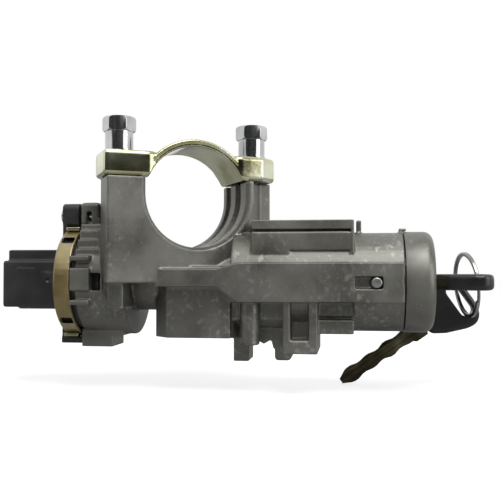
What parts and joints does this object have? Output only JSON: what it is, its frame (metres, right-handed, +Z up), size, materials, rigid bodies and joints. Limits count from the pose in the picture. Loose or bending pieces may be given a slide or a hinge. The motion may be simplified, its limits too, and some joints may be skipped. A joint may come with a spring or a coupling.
{
  "type": "ignition switch",
  "caption": "Steering-column ignition switch: cast lock barrel with a column clamp, keys on a ring, a steering lock bolt and an electrical switch with a plug socket.",
  "frame": {"origin": "centre of the steering-column bore, between the housing's half round and the clamp cap", "axes": "+X along the lock axis towards the key, +Y away from the driver's view in the picture, +Z up through the clamp cap"},
  "size_m": [0.1851, 0.0552, 0.103],
  "materials": {
    "cast_housing": "die cast, matt grey",
    "zinc_plated": "yellow passivated zinc, glossy",
    "steel": "bright",
    "black_plastic": "moulded, satin",
    "retainer_steel": "brown passivated",
    "brass": "plain",
    "key_metal": "dark, cut edges",
    "ring_metal": "plated",
    "nylon": "natural"
  },
  "bodies": {
    "housing": {"lock_housing": "cast_housing", "clamp_cap": "zinc_plated", "shear_bolt_left": "steel", "shear_bolt_right": "steel", "lock_cap": "cast_housing", "lock_sleeve": "steel", "retaining_pin": "steel", "bolt_cover": "steel", "switch_retainer": "retainer_steel", "switch_body": "black_plastic", "terminal_1": "brass", "terminal_2": "brass", "terminal_3": "brass", "terminal_4": "brass", "terminal_5": "brass", "terminal_6": "brass", "switch_screw": "steel"},
    "core": {"lock_plug": "brass", "tumbler_wafer_1": "brass", "tumbler_wafer_2": "brass", "tumbler_wafer_3": "brass", "tumbler_wafer_4": "brass", "tumbler_wafer_5": "brass", "tumbler_wafer_6": "brass", "drive_shaft": "steel", "switch_rotor": "nylon"},
    "key": {"key_head": "black_plastic", "key_blade": "key_metal"},
    "ring": {"key_ring": "ring_metal"},
    "spare_key": {"spare_key_head": "black_plastic", "spare_key_blade": "key_metal"},
    "lock_bolt": {"steering_lock_bolt": "steel"}
  },
  "joints": [
    {"name": "key_turn", "type": "hinge", "parent": "housing", "child": "core", "pos_m": [0, 0, -0.0324], "axis": [1, 0, 0], "range_deg": [-110, 0]},
    {"name": "key_slide", "type": "slide", "parent": "core", "child": "key", "axis": [1, 0, 0], "range_m": [0, 0.03]},
    {"name": "ring_swing", "type": "hinge", "parent": "key", "child": "ring", "pos_m": [0.1097, 0.0017, -0.0324], "axis": [1, 0, 0], "range_deg": [-4, 4]},
    {"name": "spare_key_swing", "type": "hinge", "parent": "ring", "child": "spare_key", "pos_m": [0.1068, 0.0201, -0.0436], "axis": [0, 1, 0], "range_deg": [-4, 4]},
    {"name": "lock_bolt_slide", "type": "slide", "parent": "housing", "child": "lock_bolt", "axis": [0, 0, 1], "range_m": [0, 0.008]}
  ],
  "couplings": [
    {"joint": "lock_bolt_slide", "follows": "key_slide", "ratio": 0.2667}
  ]
}
